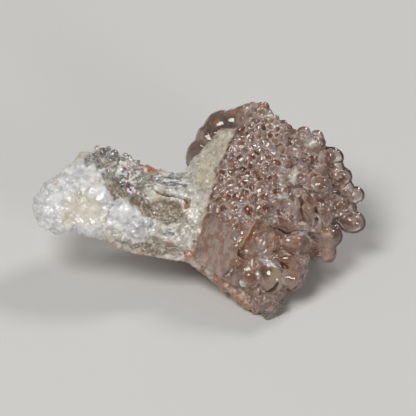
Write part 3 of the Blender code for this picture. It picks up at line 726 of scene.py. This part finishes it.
def crust_regions(right, up, front, wide, fine):
    """Where the crust is smooth, its ropy flank, its ropy lower part, and its right edge."""
    smooth = patches(right + wide * 0.3, up + fine * 0.3, SMOOTH_PATCHES)
    flank = smooth_step(6.6, 8.0, right + 0.2 * up) * front
    lower = smooth_step(-0.6, -2.2, up) * smooth_step(2.8, 4.2, right) * front
    edge = smooth_step(11.4, 12.2, right + 0.1 * up)
    return smooth, flank, lower, edge


def small_bumps(points, sizes, free, bend, dice):
    """The height, rims and tones of the small bumps, which grow from the free points."""
    picked = free[spread(points[free], sizes[free], dice)]
    return pavement(points + bend * BUMP_BEND * MM, points[picked], sizes[picked], dice)


def grow_bumps(crust):
    """Gives the crust its swellings, cracks and bumps, and stores what its colour follows."""
    points = points_of(crust)
    right, up, _ = view_places(points)
    facing = facing_of(crust)
    front = smooth_step(-0.15, 0.2, facing)
    dice = np.random.default_rng(SEED)
    wide = fractal(points, 1.4, 3)
    middle = fractal(points, 1.1, 3, 4.0)
    fine = fractal(points, 0.5, 3, 7.0)
    smooth, flank, lower, edge = crust_regions(right, up, front, wide, fine)
    ropy = np.maximum(flank, lower)
    warped = (right + wide * 0.16 + fine * 0.05, up + middle * 0.14 + fine * 0.05)
    swelling, owner, swelling_rim = swellings(*warped, CRUST_SWELLINGS)
    hollow, _ = creases(*warped, CRUST_HOLLOWS)
    crack, near_crack = creases(right + fine * 0.04, up + wide * 0.04, CRUST_CRACKS)
    claimed = smooth_step(0.05, 0.14, swelling) * front
    sizes = bump_sizes(points, right, up, facing)
    bend = np.stack([fine, wide, -fine], axis=1)
    bumps, bump_rim, bump_tone = small_bumps(points, sizes, np.flatnonzero(claimed < 0.5), bend, dice)
    calm = lower * smooth_step(-8.0, -7.2, up)
    bump_rim = bump_rim * (1 - 0.7 * calm)
    bump_tone = bump_tone * (1 - 0.6 * calm) + 0.36 * calm
    strength = (1 - 0.96 * smooth) * (1 - 0.9 * edge) * (1 - 0.95 * claimed) * (1 - 0.7 * calm)
    bump_height = bumps * strength * sizes * BUMP_RISE
    push(crust, (swelling - hollow - crack) * front - ROPY_SINK * ropy + bump_height + wide * 0.02 - 0.04)
    swelling_tones = dice.uniform(0.1, 1.0, len(CRUST_SWELLINGS))
    plain = smooth * (1 - claimed)
    # How near each place is to the rim of its bump, where the colour paints a pale reflection.
    store(crust, "rim", np.where(claimed > 0.5, swelling_rim, bump_rim) * (1 - plain) * (1 - edge))
    store(crust, "tone", np.where(claimed > 0.5, swelling_tones[owner], bump_tone))
    store(crust, "smooth", plain)
    store(crust, "flow", ropy * (1 - edge))
    store(crust, "lower", lower)
    store(crust, "clear", np.maximum(edge, 0.8 * smooth_step(-7.6, -8.2, up + fine * 0.2)))
    # Painted shade along the cracks.
    store(crust, "crack", near_crack * front)
    # Painted highlights and painted pale rims, along the lines of that table.
    store(crust, "pale", creases(right + fine * 0.06, up + middle * 0.06, PAINTED_LIGHT_LINES)[0] * front)
    wandering = (right + wide * 0.3 + fine * 0.2, up + middle * 0.25 + fine * 0.2)
    for name, rows in CRUST_MASKS.items():
        store(crust, name, patches(*wandering, rows) * front)
    apply(crust, "SMOOTH", factor=0.3, iterations=1)


def cluster_piece(stone_skin):
    """The cluster's drops, each on the solid and once more on the stone, so that none hangs in the air."""
    skin = skin_of(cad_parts["hyalite_cluster"])
    rows = [(right, up, radius, radius, radius, 0) for right, up, radius in CLUSTER_DROPS]
    rows += small_drops(np.random.default_rng(SEED))
    on_skin = drops("cluster_drops", skin, rows, 0.75)
    on_stone = drops("cluster_feet", stone_skin, rows, 0.25)
    cluster = joined("hyalite_cluster_opal", [on_skin, on_stone])
    fuse(cluster, CLUSTER_GRAIN, smoothing=2)
    right, up, _ = view_places(points_of(cluster))
    # Where the painted rainbow glints go.
    store(cluster, "rainbow", patches(right, up, RAINBOW_GLINT_PATCHES))
    return cluster


def small_drops(dice):
    """Small drops between the large ones, in the same form as the crust's."""
    rows = []
    for right, up, radius in CLUSTER_DROPS:
        for turn in dice.uniform(0, 2 * math.pi, SMALL_DROPS_EACH):
            size = dice.uniform(*SMALL_DROP_RADII)
            reach = radius + size * 0.3
            rows.append((right + reach * math.cos(turn), up + reach * math.sin(turn), size, size, size, 0))
    return rows


# Materials

def new_material(name):
    material = bpy.data.materials.new(name)
    material.use_nodes = True
    return material, material.node_tree, material.node_tree.nodes["Principled BSDF"]


def node(tree, kind, **settings):
    """Adds a node. A setting is an input's value or link where the node has an input of that name."""
    made = tree.nodes.new("ShaderNode" + kind)
    for key, value in settings.items():
        label = key.replace("_", " ")
        if label in made.inputs:
            feed(tree, made.inputs[label], value)
        else:
            setattr(made, key, value)
    return made


def feed(tree, socket, value):
    if isinstance(value, bpy.types.NodeSocket):
        tree.links.new(value, socket)
    else:
        socket.default_value = value


def mask(tree, name, *limits):
    """A stored mask, or what a ramp makes of it."""
    value = node(tree, "Attribute", attribute_name=name).outputs["Fac"]
    return ramp(tree, value, *limits) if limits else value


def maths(tree, operation, first, second, kind="Math", output=0):
    made = node(tree, kind, operation=operation)
    feed(tree, made.inputs[0], first)
    feed(tree, made.inputs[1], second)
    return made.outputs[output]


def product(tree, first, second):
    return maths(tree, "MULTIPLY", first, second)


def total(tree, first, second):
    return maths(tree, "ADD", first, second)


def ramp(tree, value, low, high, to_low=0.0, to_high=1.0):
    made = node(tree, "MapRange", Value=value, interpolation_type="SMOOTHSTEP")
    for key, number in (("From Min", low), ("From Max", high), ("To Min", to_low), ("To Max", to_high)):
        made.inputs[key].default_value = number
    return made.outputs["Result"]


def grain(tree, size, detail=4.0, roughness=0.55, squeeze=(1, 1, 1)):
    """Noise whose swells are that many millimetres wide, or wider along the axes that are squeezed."""
    place = node(tree, "TexCoord").outputs["Object"]
    place = maths(tree, "MULTIPLY", place, squeeze, "VectorMath")
    made = node(tree, "TexNoise", Vector=place, Scale=1 / (size * MM), Detail=detail, Roughness=roughness)
    return made.outputs["Fac"]


def blend(tree, share, first, second):
    """The first colour where the share is 0, and the second where it is 1."""
    made = node(tree, "Mix", data_type="RGBA")
    feed(tree, made.inputs["Factor"], share)
    feed(tree, made.inputs[6], first)
    feed(tree, made.inputs[7], second)
    return made.outputs[2]


def layered(tree, colour, layers):
    """A colour under layers of others, the lowest first, each with its share and its own colour."""
    for share, layer in layers:
        colour = blend(tree, share, colour, layer)
    return colour


def random_cells(tree, size):
    """A random value from 0 to 1 for each cell of about that many millimetres."""
    place = node(tree, "TexCoord").outputs["Object"]
    cells = node(tree, "TexVoronoi", Vector=place, Scale=1 / (size * MM))
    split = node(tree, "SeparateColor")
    feed(tree, split.inputs[0], cells.outputs["Color"])
    return split.outputs[0]


def glitter(tree, size):
    """Height of flat facets that tilt each its own way, that many millimetres wide."""
    place = node(tree, "TexCoord").outputs["Object"]
    cells = node(tree, "TexVoronoi", Vector=place, Scale=1 / (size * MM)).outputs
    offset = maths(tree, "SUBTRACT", place, cells["Position"], "VectorMath")
    tilt = maths(tree, "SUBTRACT", cells["Color"], (0.5, 0.5, 0.5), "VectorMath")
    return maths(tree, "DOT_PRODUCT", offset, tilt, "VectorMath", "Value")


STONE_COLOURS = {
    "cream": (0.89, 0.84, 0.74, 1), "shade": (0.58, 0.52, 0.43, 1), "pale": (0.95, 0.93, 0.87, 1),
    "milk": (0.92, 0.92, 0.91, 1), "milk_shade": (0.68, 0.68, 0.71, 1), "yellow": (0.74, 0.6, 0.36, 1),
    "ivory": (0.84, 0.79, 0.66, 1), "brown": (0.22, 0.15, 0.095, 1), "rust": (0.48, 0.18, 0.075, 1),
    "tan": (0.5, 0.3, 0.18, 1), "grey": (0.13, 0.135, 0.13, 1), "white": (0.93, 0.94, 0.92, 1),
    "dark_grain": (0.2, 0.17, 0.13, 1), "bed_brown": (0.36, 0.2, 0.135, 1),
    "bed_pink": (0.76, 0.59, 0.5, 1),
}


def granular_colour(tree, patch, speck, fleck, yellow):
    """The stone where it is neither milky nor stained."""
    tones = STONE_COLOURS
    return layered(tree, tones["shade"], [
        (ramp(tree, patch, 0.38, 0.6), tones["cream"]),
        (ramp(tree, speck, 0.52, 0.66), tones["pale"]),
        (yellow, tones["yellow"]),
        # white flecks of the grain, which are also painted glints
        (ramp(tree, fleck, 0.6, 0.66, 0.0, 0.8), tones["white"]),
        (ramp(tree, fleck, 0.38, 0.32, 0.0, 0.6), tones["dark_grain"]),
    ])


def milk_colour(tree, speck, yellow):
    """The milky coat of the arm, which is ivory and porous where the stone is yellow."""
    tones = STONE_COLOURS
    porous = product(tree, yellow, ramp(tree, speck, 0.5, 0.42, 0.0, 0.8))
    return layered(tree, tones["milk_shade"], [
        (ramp(tree, grain(tree, 0.9, 5.0, 0.6), 0.38, 0.56), tones["milk"]),
        (product(tree, mask(tree, "yellow"), 0.7), tones["ivory"]),
        (porous, tones["yellow"]),
    ])


def stone_colour(tree, patch, speck, fleck):
    """The granular stone and all that lies on it."""
    tones = STONE_COLOURS
    yellow = product(tree, mask(tree, "yellow"), ramp(tree, patch, 0.35, 0.6))
    milky = total(tree, mask(tree, "milk"), ramp(tree, speck, 0.35, 0.65, -0.3, 0.3))
    streak = ramp(tree, grain(tree, 0.34, 5.0, 0.7, (0.35, 1, 1)), 0.4, 0.6)
    brown = blend(tree, ramp(tree, speck, 0.42, 0.74, 0.0, 0.85), tones["brown"], tones["cream"])
    bed = blend(tree, ramp(tree, grain(tree, 0.45, 5.0), 0.4, 0.6), tones["bed_brown"], tones["bed_pink"])
    rusty = total(tree, mask(tree, "rust"), ramp(tree, patch, 0.3, 0.7, -0.35, 0.35))
    rust = blend(tree, ramp(tree, grain(tree, 0.7, 5.0), 0.33, 0.5), tones["tan"], tones["rust"])
    return layered(tree, granular_colour(tree, patch, speck, fleck, yellow), [
        (ramp(tree, milky, 0.1, 0.75), milk_colour(tree, speck, yellow)),
        # grey and white streaks, in some places painted glints with painted shade
        (mask(tree, "grey", 0.2, 0.9), blend(tree, streak, tones["grey"], tones["white"])),
        (mask(tree, "brown", 0.2, 0.9, 0.0, 0.9), brown),
        # painted shade in the hollows
        (mask(tree, "hollow", 0.2, 1.0, 0.0, 0.9), tones["brown"]),
        # painted shade: dark eyes under the clearest drops
        (mask(tree, "eye_shade", 0.2, 0.8, 0.0, 0.7), tones["grey"]),
        (mask(tree, "bed"), bed),
        (ramp(tree, rusty, 0.2, 1.0), rust),
    ])


def stone_material():
    """Granular stone, which glistens by a glossy coat over small tilted facets, and by white flecks that
    are partly painted glints.
    """
    material, tree, shader = new_material("broken_stone")
    patch = grain(tree, 1.1)
    speck = grain(tree, 0.28, 4.0, 0.7)
    fleck = grain(tree, 0.13, 2.0)
    feed(tree, shader.inputs["Base Color"], stone_colour(tree, patch, speck, fleck))
    dull = ramp(tree, speck, 0.4, 0.6, 0.16, 0.55)
    rough = mask(tree, "milk", 0.3, 0.8, 0.0, 0.2)
    feed(tree, shader.inputs["Roughness"], total(tree, dull, rough))
    coat(shader, 0.8, 1.6, 0.1)
    sharp = mask(tree, "milk", 0.2, 0.8, 0.9, 0.3)
    facets = node(tree, "Bump", Strength=sharp, Distance=1.0, Height=glitter(tree, 0.22)).outputs["Normal"]
    grit = node(tree, "Bump", Strength=1.0, Distance=0.08 * MM, Height=fleck, Normal=facets)
    feed(tree, shader.inputs["Normal"], grit.outputs["Normal"])
    return material


PINK_COLOURS = {
    "deep": (0.36, 0.14, 0.08, 1), "tan": (0.66, 0.42, 0.3, 1), "pink": (0.76, 0.57, 0.47, 1),
    # 'rim' is a painted reflection, pale on the rims of the bumps.
    "lilac": (0.82, 0.73, 0.72, 1), "rim": (0.88, 0.81, 0.78, 1), "straw": (0.72, 0.64, 0.45, 1),
    "smoke": (0.2, 0.16, 0.13, 1), "warm": (0.64, 0.35, 0.2, 1), "orange": (0.66, 0.31, 0.13, 1),
    # 'crack' is painted shade, in the cracks and the deepest creases.
    "cream": (0.86, 0.78, 0.65, 1), "crack": (0.19, 0.085, 0.05, 1), "clear": (0.93, 0.9, 0.88, 1),
    # 'white' is the colour of the painted highlights.
    "slab": (0.5, 0.31, 0.23, 1), "slab_pale": (0.72, 0.58, 0.52, 1), "white": (0.9, 0.86, 0.86, 1),
}

# How much of the light the crust scatters at once, instead of letting it in, by what its colour follows.
# For the painted reflection on the bumps' rims.
PAINTED_RIM_HAZE = 0.6
VEIL_HAZE = 0.6
# For the painted highlights, so that their white shows.
PAINTED_LIGHT_HAZE = 0.7
# The crack's haze lets its painted shade show.
CRUST_HAZE = {"smooth": 0.5, "flow": 0.36, "cream": 0.8, "orange": 0.6, "crack": 0.8, "straw": 0.45}

# What the opal absorbs: the colour that it leaves, and the density.
PINK_ABSORPTION = ((0.85, 0.68, 0.6, 1), 560.0)
CLEAR_ABSORPTION = ((0.9, 0.85, 0.8, 1), 80.0)
OPAL_INDEX = 1.45


def bump_colour(tree, cloud):
    """Each bump's own tone, from deep brown over pink to lilac, with a cloud in it."""
    tones = PINK_COLOURS
    tone = total(tree, mask(tree, "tone"), ramp(tree, cloud, 0.35, 0.65, -0.3, 0.3))
    return layered(tree, tones["deep"], [
        (ramp(tree, tone, 0.0, 0.3), tones["tan"]),
        (ramp(tree, tone, 0.3, 0.65), tones["pink"]),
        (ramp(tree, tone, 0.75, 1.1), tones["lilac"]),
    ])


def painted_rim_share(tree, speck):
    """How far a place shows the painted reflection on the rim of its bump, ragged and stronger where the
    crust is ropy.
    """
    ragged = product(tree, mask(tree, "rim", 0.6, 0.9), ramp(tree, speck, 0.35, 0.6, 0.35, 0.9))
    return product(tree, ragged, mask(tree, "flow", 0.0, 1.0, 0.85, 1.15))


def opal_colour(tree, cloud, speck, veil, veiled, rim, pale):
    """The bumps' colour and all that lies on it."""
    tones = PINK_COLOURS
    flow = mask(tree, "flow")
    streak = grain(tree, 0.5, 5.0, 0.6, (1, 1, 0.4))
    slab = blend(tree, ramp(tree, streak, 0.38, 0.62), tones["slab"], tones["slab_pale"])
    orange = total(tree, mask(tree, "orange"), ramp(tree, speck, 0.35, 0.65, -0.45, 0.45))
    return layered(tree, bump_colour(tree, cloud), [
        (product(tree, mask(tree, "warm"), ramp(tree, speck, 0.35, 0.6, 0.4, 0.9)), tones["warm"]),
        (product(tree, flow, ramp(tree, veil, 0.47, 0.36, 0.0, 0.8)), tones["warm"]),
        (veiled, tones["lilac"]),
        # painted reflection on the rims of the bumps
        (rim, tones["rim"]),
        # painted shade in the deepest creases of the ropy crust
        (product(tree, mask(tree, "rim", 0.92, 1.0, 0.0, 0.8), flow), tones["crack"]),
        (mask(tree, "smooth"), slab),
        (product(tree, mask(tree, "straw"), 0.85), tones["straw"]),
        (product(tree, mask(tree, "smoke"), 0.85), tones["smoke"]),
        (product(tree, mask(tree, "cream"), ramp(tree, speck, 0.38, 0.56)), tones["cream"]),
        (product(tree, mask(tree, "dark"), 0.8), tones["deep"]),
        (ramp(tree, orange, 0.35, 0.95), tones["orange"]),
        (mask(tree, "clear"), tones["clear"]),
        # painted shade along the cracks
        (mask(tree, "crack", 0.25, 0.8), tones["crack"]),
        # painted highlights, in white
        (pale, tones["white"]),
    ])


def haze_of(tree, cloud, parts):
    """How much light the crust scatters: the most that a part asks for, and little where it is clear."""
    haze = ramp(tree, cloud, 0.4, 0.66, 0.1, 0.3)
    for part, share in parts:
        haze = maths(tree, "MAXIMUM", haze, product(tree, part, share))
    return product(tree, haze, mask(tree, "clear", 0, 1, 1.0, 0.15))


def pink_material():
    """The crust's glassy opal, see-through where it isn't hazy."""
    material, tree, shader = new_material("pink_opal")
    cloud = grain(tree, 0.9, 5.0)
    speck = grain(tree, 0.3, 4.0, 0.65)
    veil = grain(tree, 0.7, 5.0, 0.65, (0.5, 1, 1))
    # Painted reflection on the rims of the bumps.
    rim = painted_rim_share(tree, speck)
    veiled = product(tree, mask(tree, "lower"), ramp(tree, veil, 0.52, 0.64, 0.0, 0.7))
    # Painted highlights along the stored lines, broken up by the speck.
    pale = product(tree, mask(tree, "pale", 0.1, 1.0), ramp(tree, speck, 0.3, 0.55, 0.3, 1.0))
    colour = opal_colour(tree, cloud, speck, veil, veiled, rim, pale)
    feed(tree, shader.inputs["Base Color"], colour)
    parts = [(rim, PAINTED_RIM_HAZE), (pale, PAINTED_LIGHT_HAZE), (veiled, VEIL_HAZE)]
    parts += [(mask(tree, name), share) for name, share in CRUST_HAZE.items()]
    haze = haze_of(tree, cloud, parts)
    feed(tree, shader.inputs["Transmission Weight"], maths(tree, "SUBTRACT", 1.0, haze))
    glassy(tree, shader, 0.05, PINK_ABSORPTION)
    return material


CLEAR_COLOUR = (0.96, 0.95, 0.94, 1)
CLOUD_COLOUR = (0.88, 0.8, 0.75, 1)
FLECK_SIZE = 0.24  # of the rainbow's flecks, in millimetres
FLECK_STRENGTH = 0.28  # of their colour


def clear_material():
    """The cluster's clear opal, with small pastel flecks as painted rainbow glints on its drops."""
    material, tree, shader = new_material("clear_opal")
    body = blend(tree, ramp(tree, grain(tree, 0.6), 0.45, 0.65), CLEAR_COLOUR, CLOUD_COLOUR)
    cells = random_cells(tree, FLECK_SIZE)
    hue = ramp(tree, cells, 0.5, 1.0)
    pastel = node(tree, "CombineColor", mode="HSV", Red=hue, Green=FLECK_STRENGTH, Blue=1.0)
    # Painted rainbow glints: pastel flecks that let little light through.
    flecks = product(tree, mask(tree, "rainbow"), ramp(tree, cells, 0.4, 0.42))
    feed(tree, shader.inputs["Base Color"], blend(tree, flecks, body, pastel.outputs["Color"]))
    feed(tree, shader.inputs["Transmission Weight"], ramp(tree, flecks, 0.0, 1.0, 0.97, 0.1))
    glassy(tree, shader, 0.03, CLEAR_ABSORPTION, gloss=1.0)
    return material


def glassy(tree, shader, roughness, absorption, gloss=0.6):
    """What every glass of the specimen has: its index, its gloss, a slight waviness, and its absorption."""
    shader.inputs["IOR"].default_value = OPAL_INDEX
    shader.inputs["Roughness"].default_value = roughness
    coat(shader, gloss, 1.5 + gloss * 0.2, 0.03)
    bump = node(tree, "Bump", Strength=0.15, Distance=0.03 * MM, Height=grain(tree, 0.4, 2.0))
    feed(tree, shader.inputs["Normal"], bump.outputs["Normal"])
    colour, density = absorption
    volume = node(tree, "VolumeAbsorption", Color=colour, Density=density)
    tree.links.new(volume.outputs["Volume"], tree.nodes["Material Output"].inputs["Volume"])


def coat(shader, weight, index, roughness):
    shader.inputs["Coat Weight"].default_value = weight
    shader.inputs["Coat IOR"].default_value = index
    shader.inputs["Coat Roughness"].default_value = roughness


def dress(piece, replaced, material):
    piece.data.materials.clear()
    piece.data.materials.append(material)
    piece.data.shade_smooth()
    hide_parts(replaced)
    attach(piece, "root")


# The camera and the studio

def place_camera():
    data = bpy.data.cameras.new("camera")
    data.sensor_width = SENSOR_WIDTH
    data.lens = data.sensor_width * CAMERA_DISTANCE / (PICTURE_SIZE * PIXEL)
    data.clip_start, data.clip_end = CAMERA_CLIP
    camera = new_thing("camera", data)
    middle = PICTURE_SIZE / 2
    aim = seen((middle - ZERO_PIXEL[0]) * PIXEL, (ZERO_PIXEL[1] - middle) * PIXEL, 0)
    camera.location = aim + VIEW_TOWARD * CAMERA_DISTANCE * MM
    camera.rotation_mode = "QUATERNION"
    camera.rotation_quaternion = (-VIEW_TOWARD).to_track_quat("-Z", "Y")
    bpy.context.scene.camera = camera


def soft_light(name, direction, distance, size, power, colour):
    data = bpy.data.lights.new(name, "AREA")
    data.shape = "DISK"
    data.size = size * MM
    data.energy = power
    data.color = colour
    light = new_thing(name, data)
    direction = Vector(direction).normalized()
    light.location = direction * distance * MM
    light.rotation_mode = "QUATERNION"
    light.rotation_quaternion = direction.to_track_quat("Z", "Y")


def studio():
    bpy.ops.mesh.primitive_plane_add(size=4.0)
    floor = bpy.context.object
    floor.name = "floor"
    material, tree, shader = new_material("pale_paper")
    shader.inputs["Base Color"].default_value = PAPER_COLOUR
    shader.inputs["Roughness"].default_value = PAPER_ROUGHNESS
    floor.data.materials.append(material)
    world = bpy.data.worlds.new("studio")
    world.use_nodes = True
    background = world.node_tree.nodes["Background"]
    background.inputs["Color"].default_value = SKY_COLOUR
    background.inputs["Strength"].default_value = SKY_STRENGTH
    bpy.context.scene.world = world
    for light in LIGHTS:
        soft_light(*light)
    bpy.context.scene.view_settings.view_transform = "Standard"


def main():
    place_camera()
    studio()
    stone = stone_piece()
    roughen_stone(stone, skin_of(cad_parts["hyalite_crust"]))
    stone_skin = skin_of(stone)
    crust = crust_piece(stone_skin)
    grow_bumps(crust)
    cluster = cluster_piece(stone_skin)
    dress(stone, "matrix", stone_material())
    dress(crust, "hyalite_crust", pink_material())
    dress(cluster, "hyalite_cluster", clear_material())


main()
